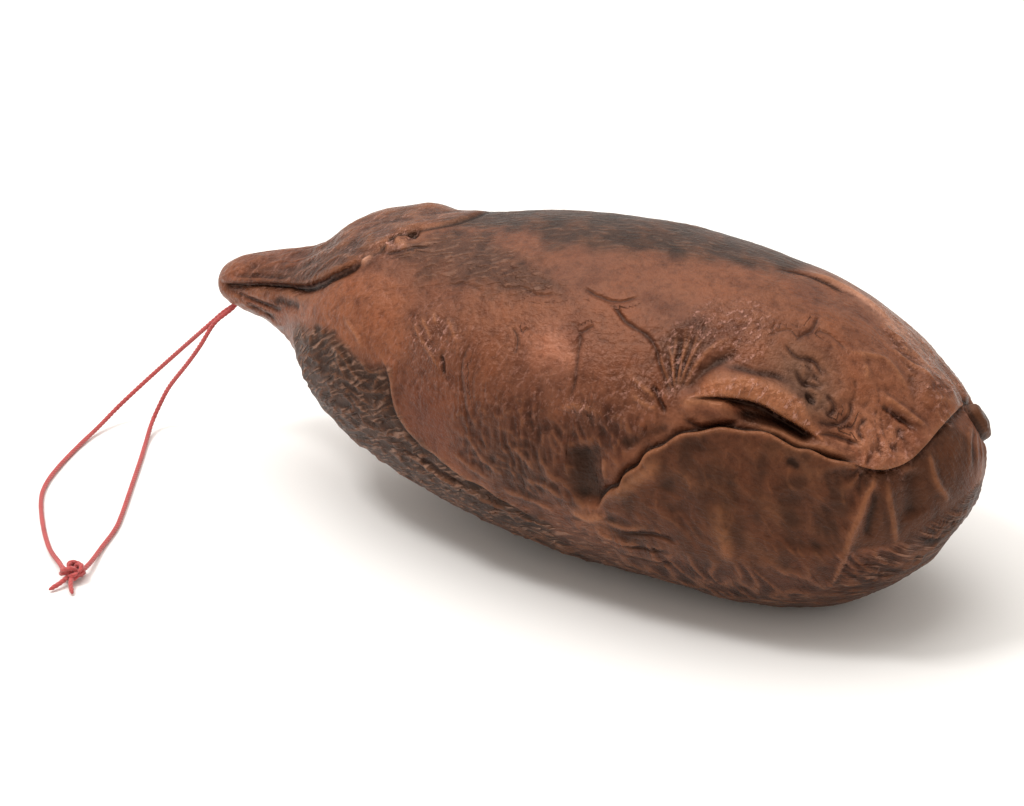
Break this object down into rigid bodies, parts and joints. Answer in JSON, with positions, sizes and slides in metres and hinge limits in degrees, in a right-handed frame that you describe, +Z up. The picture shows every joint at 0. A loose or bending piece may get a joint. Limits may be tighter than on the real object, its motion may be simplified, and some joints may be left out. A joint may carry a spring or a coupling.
{
  "type": "cured sausage",
  "caption": "Plump cured sausage in a wrinkled natural casing, tapering to a folded neck, with a knotted hanging loop of red twine.",
  "frame": {"origin": "on the surface that the sausage lies on, under the middle of its box without the twine", "axes": "+X along the sausage from the tip of its neck to the blunt end, +Z up, -Y the side where the loop lies"},
  "size_m": [0.286, 0.1633, 0.096],
  "materials": {
    "casing": "dried and smoked natural casing, semi-gloss, wrinkled",
    "twine": "red twisted cotton twine, matt"
  },
  "bodies": {
    "root": {"sausage": "casing", "hanging_string": "twine", "string_knot": "twine"}
  },
  "joints": []
}
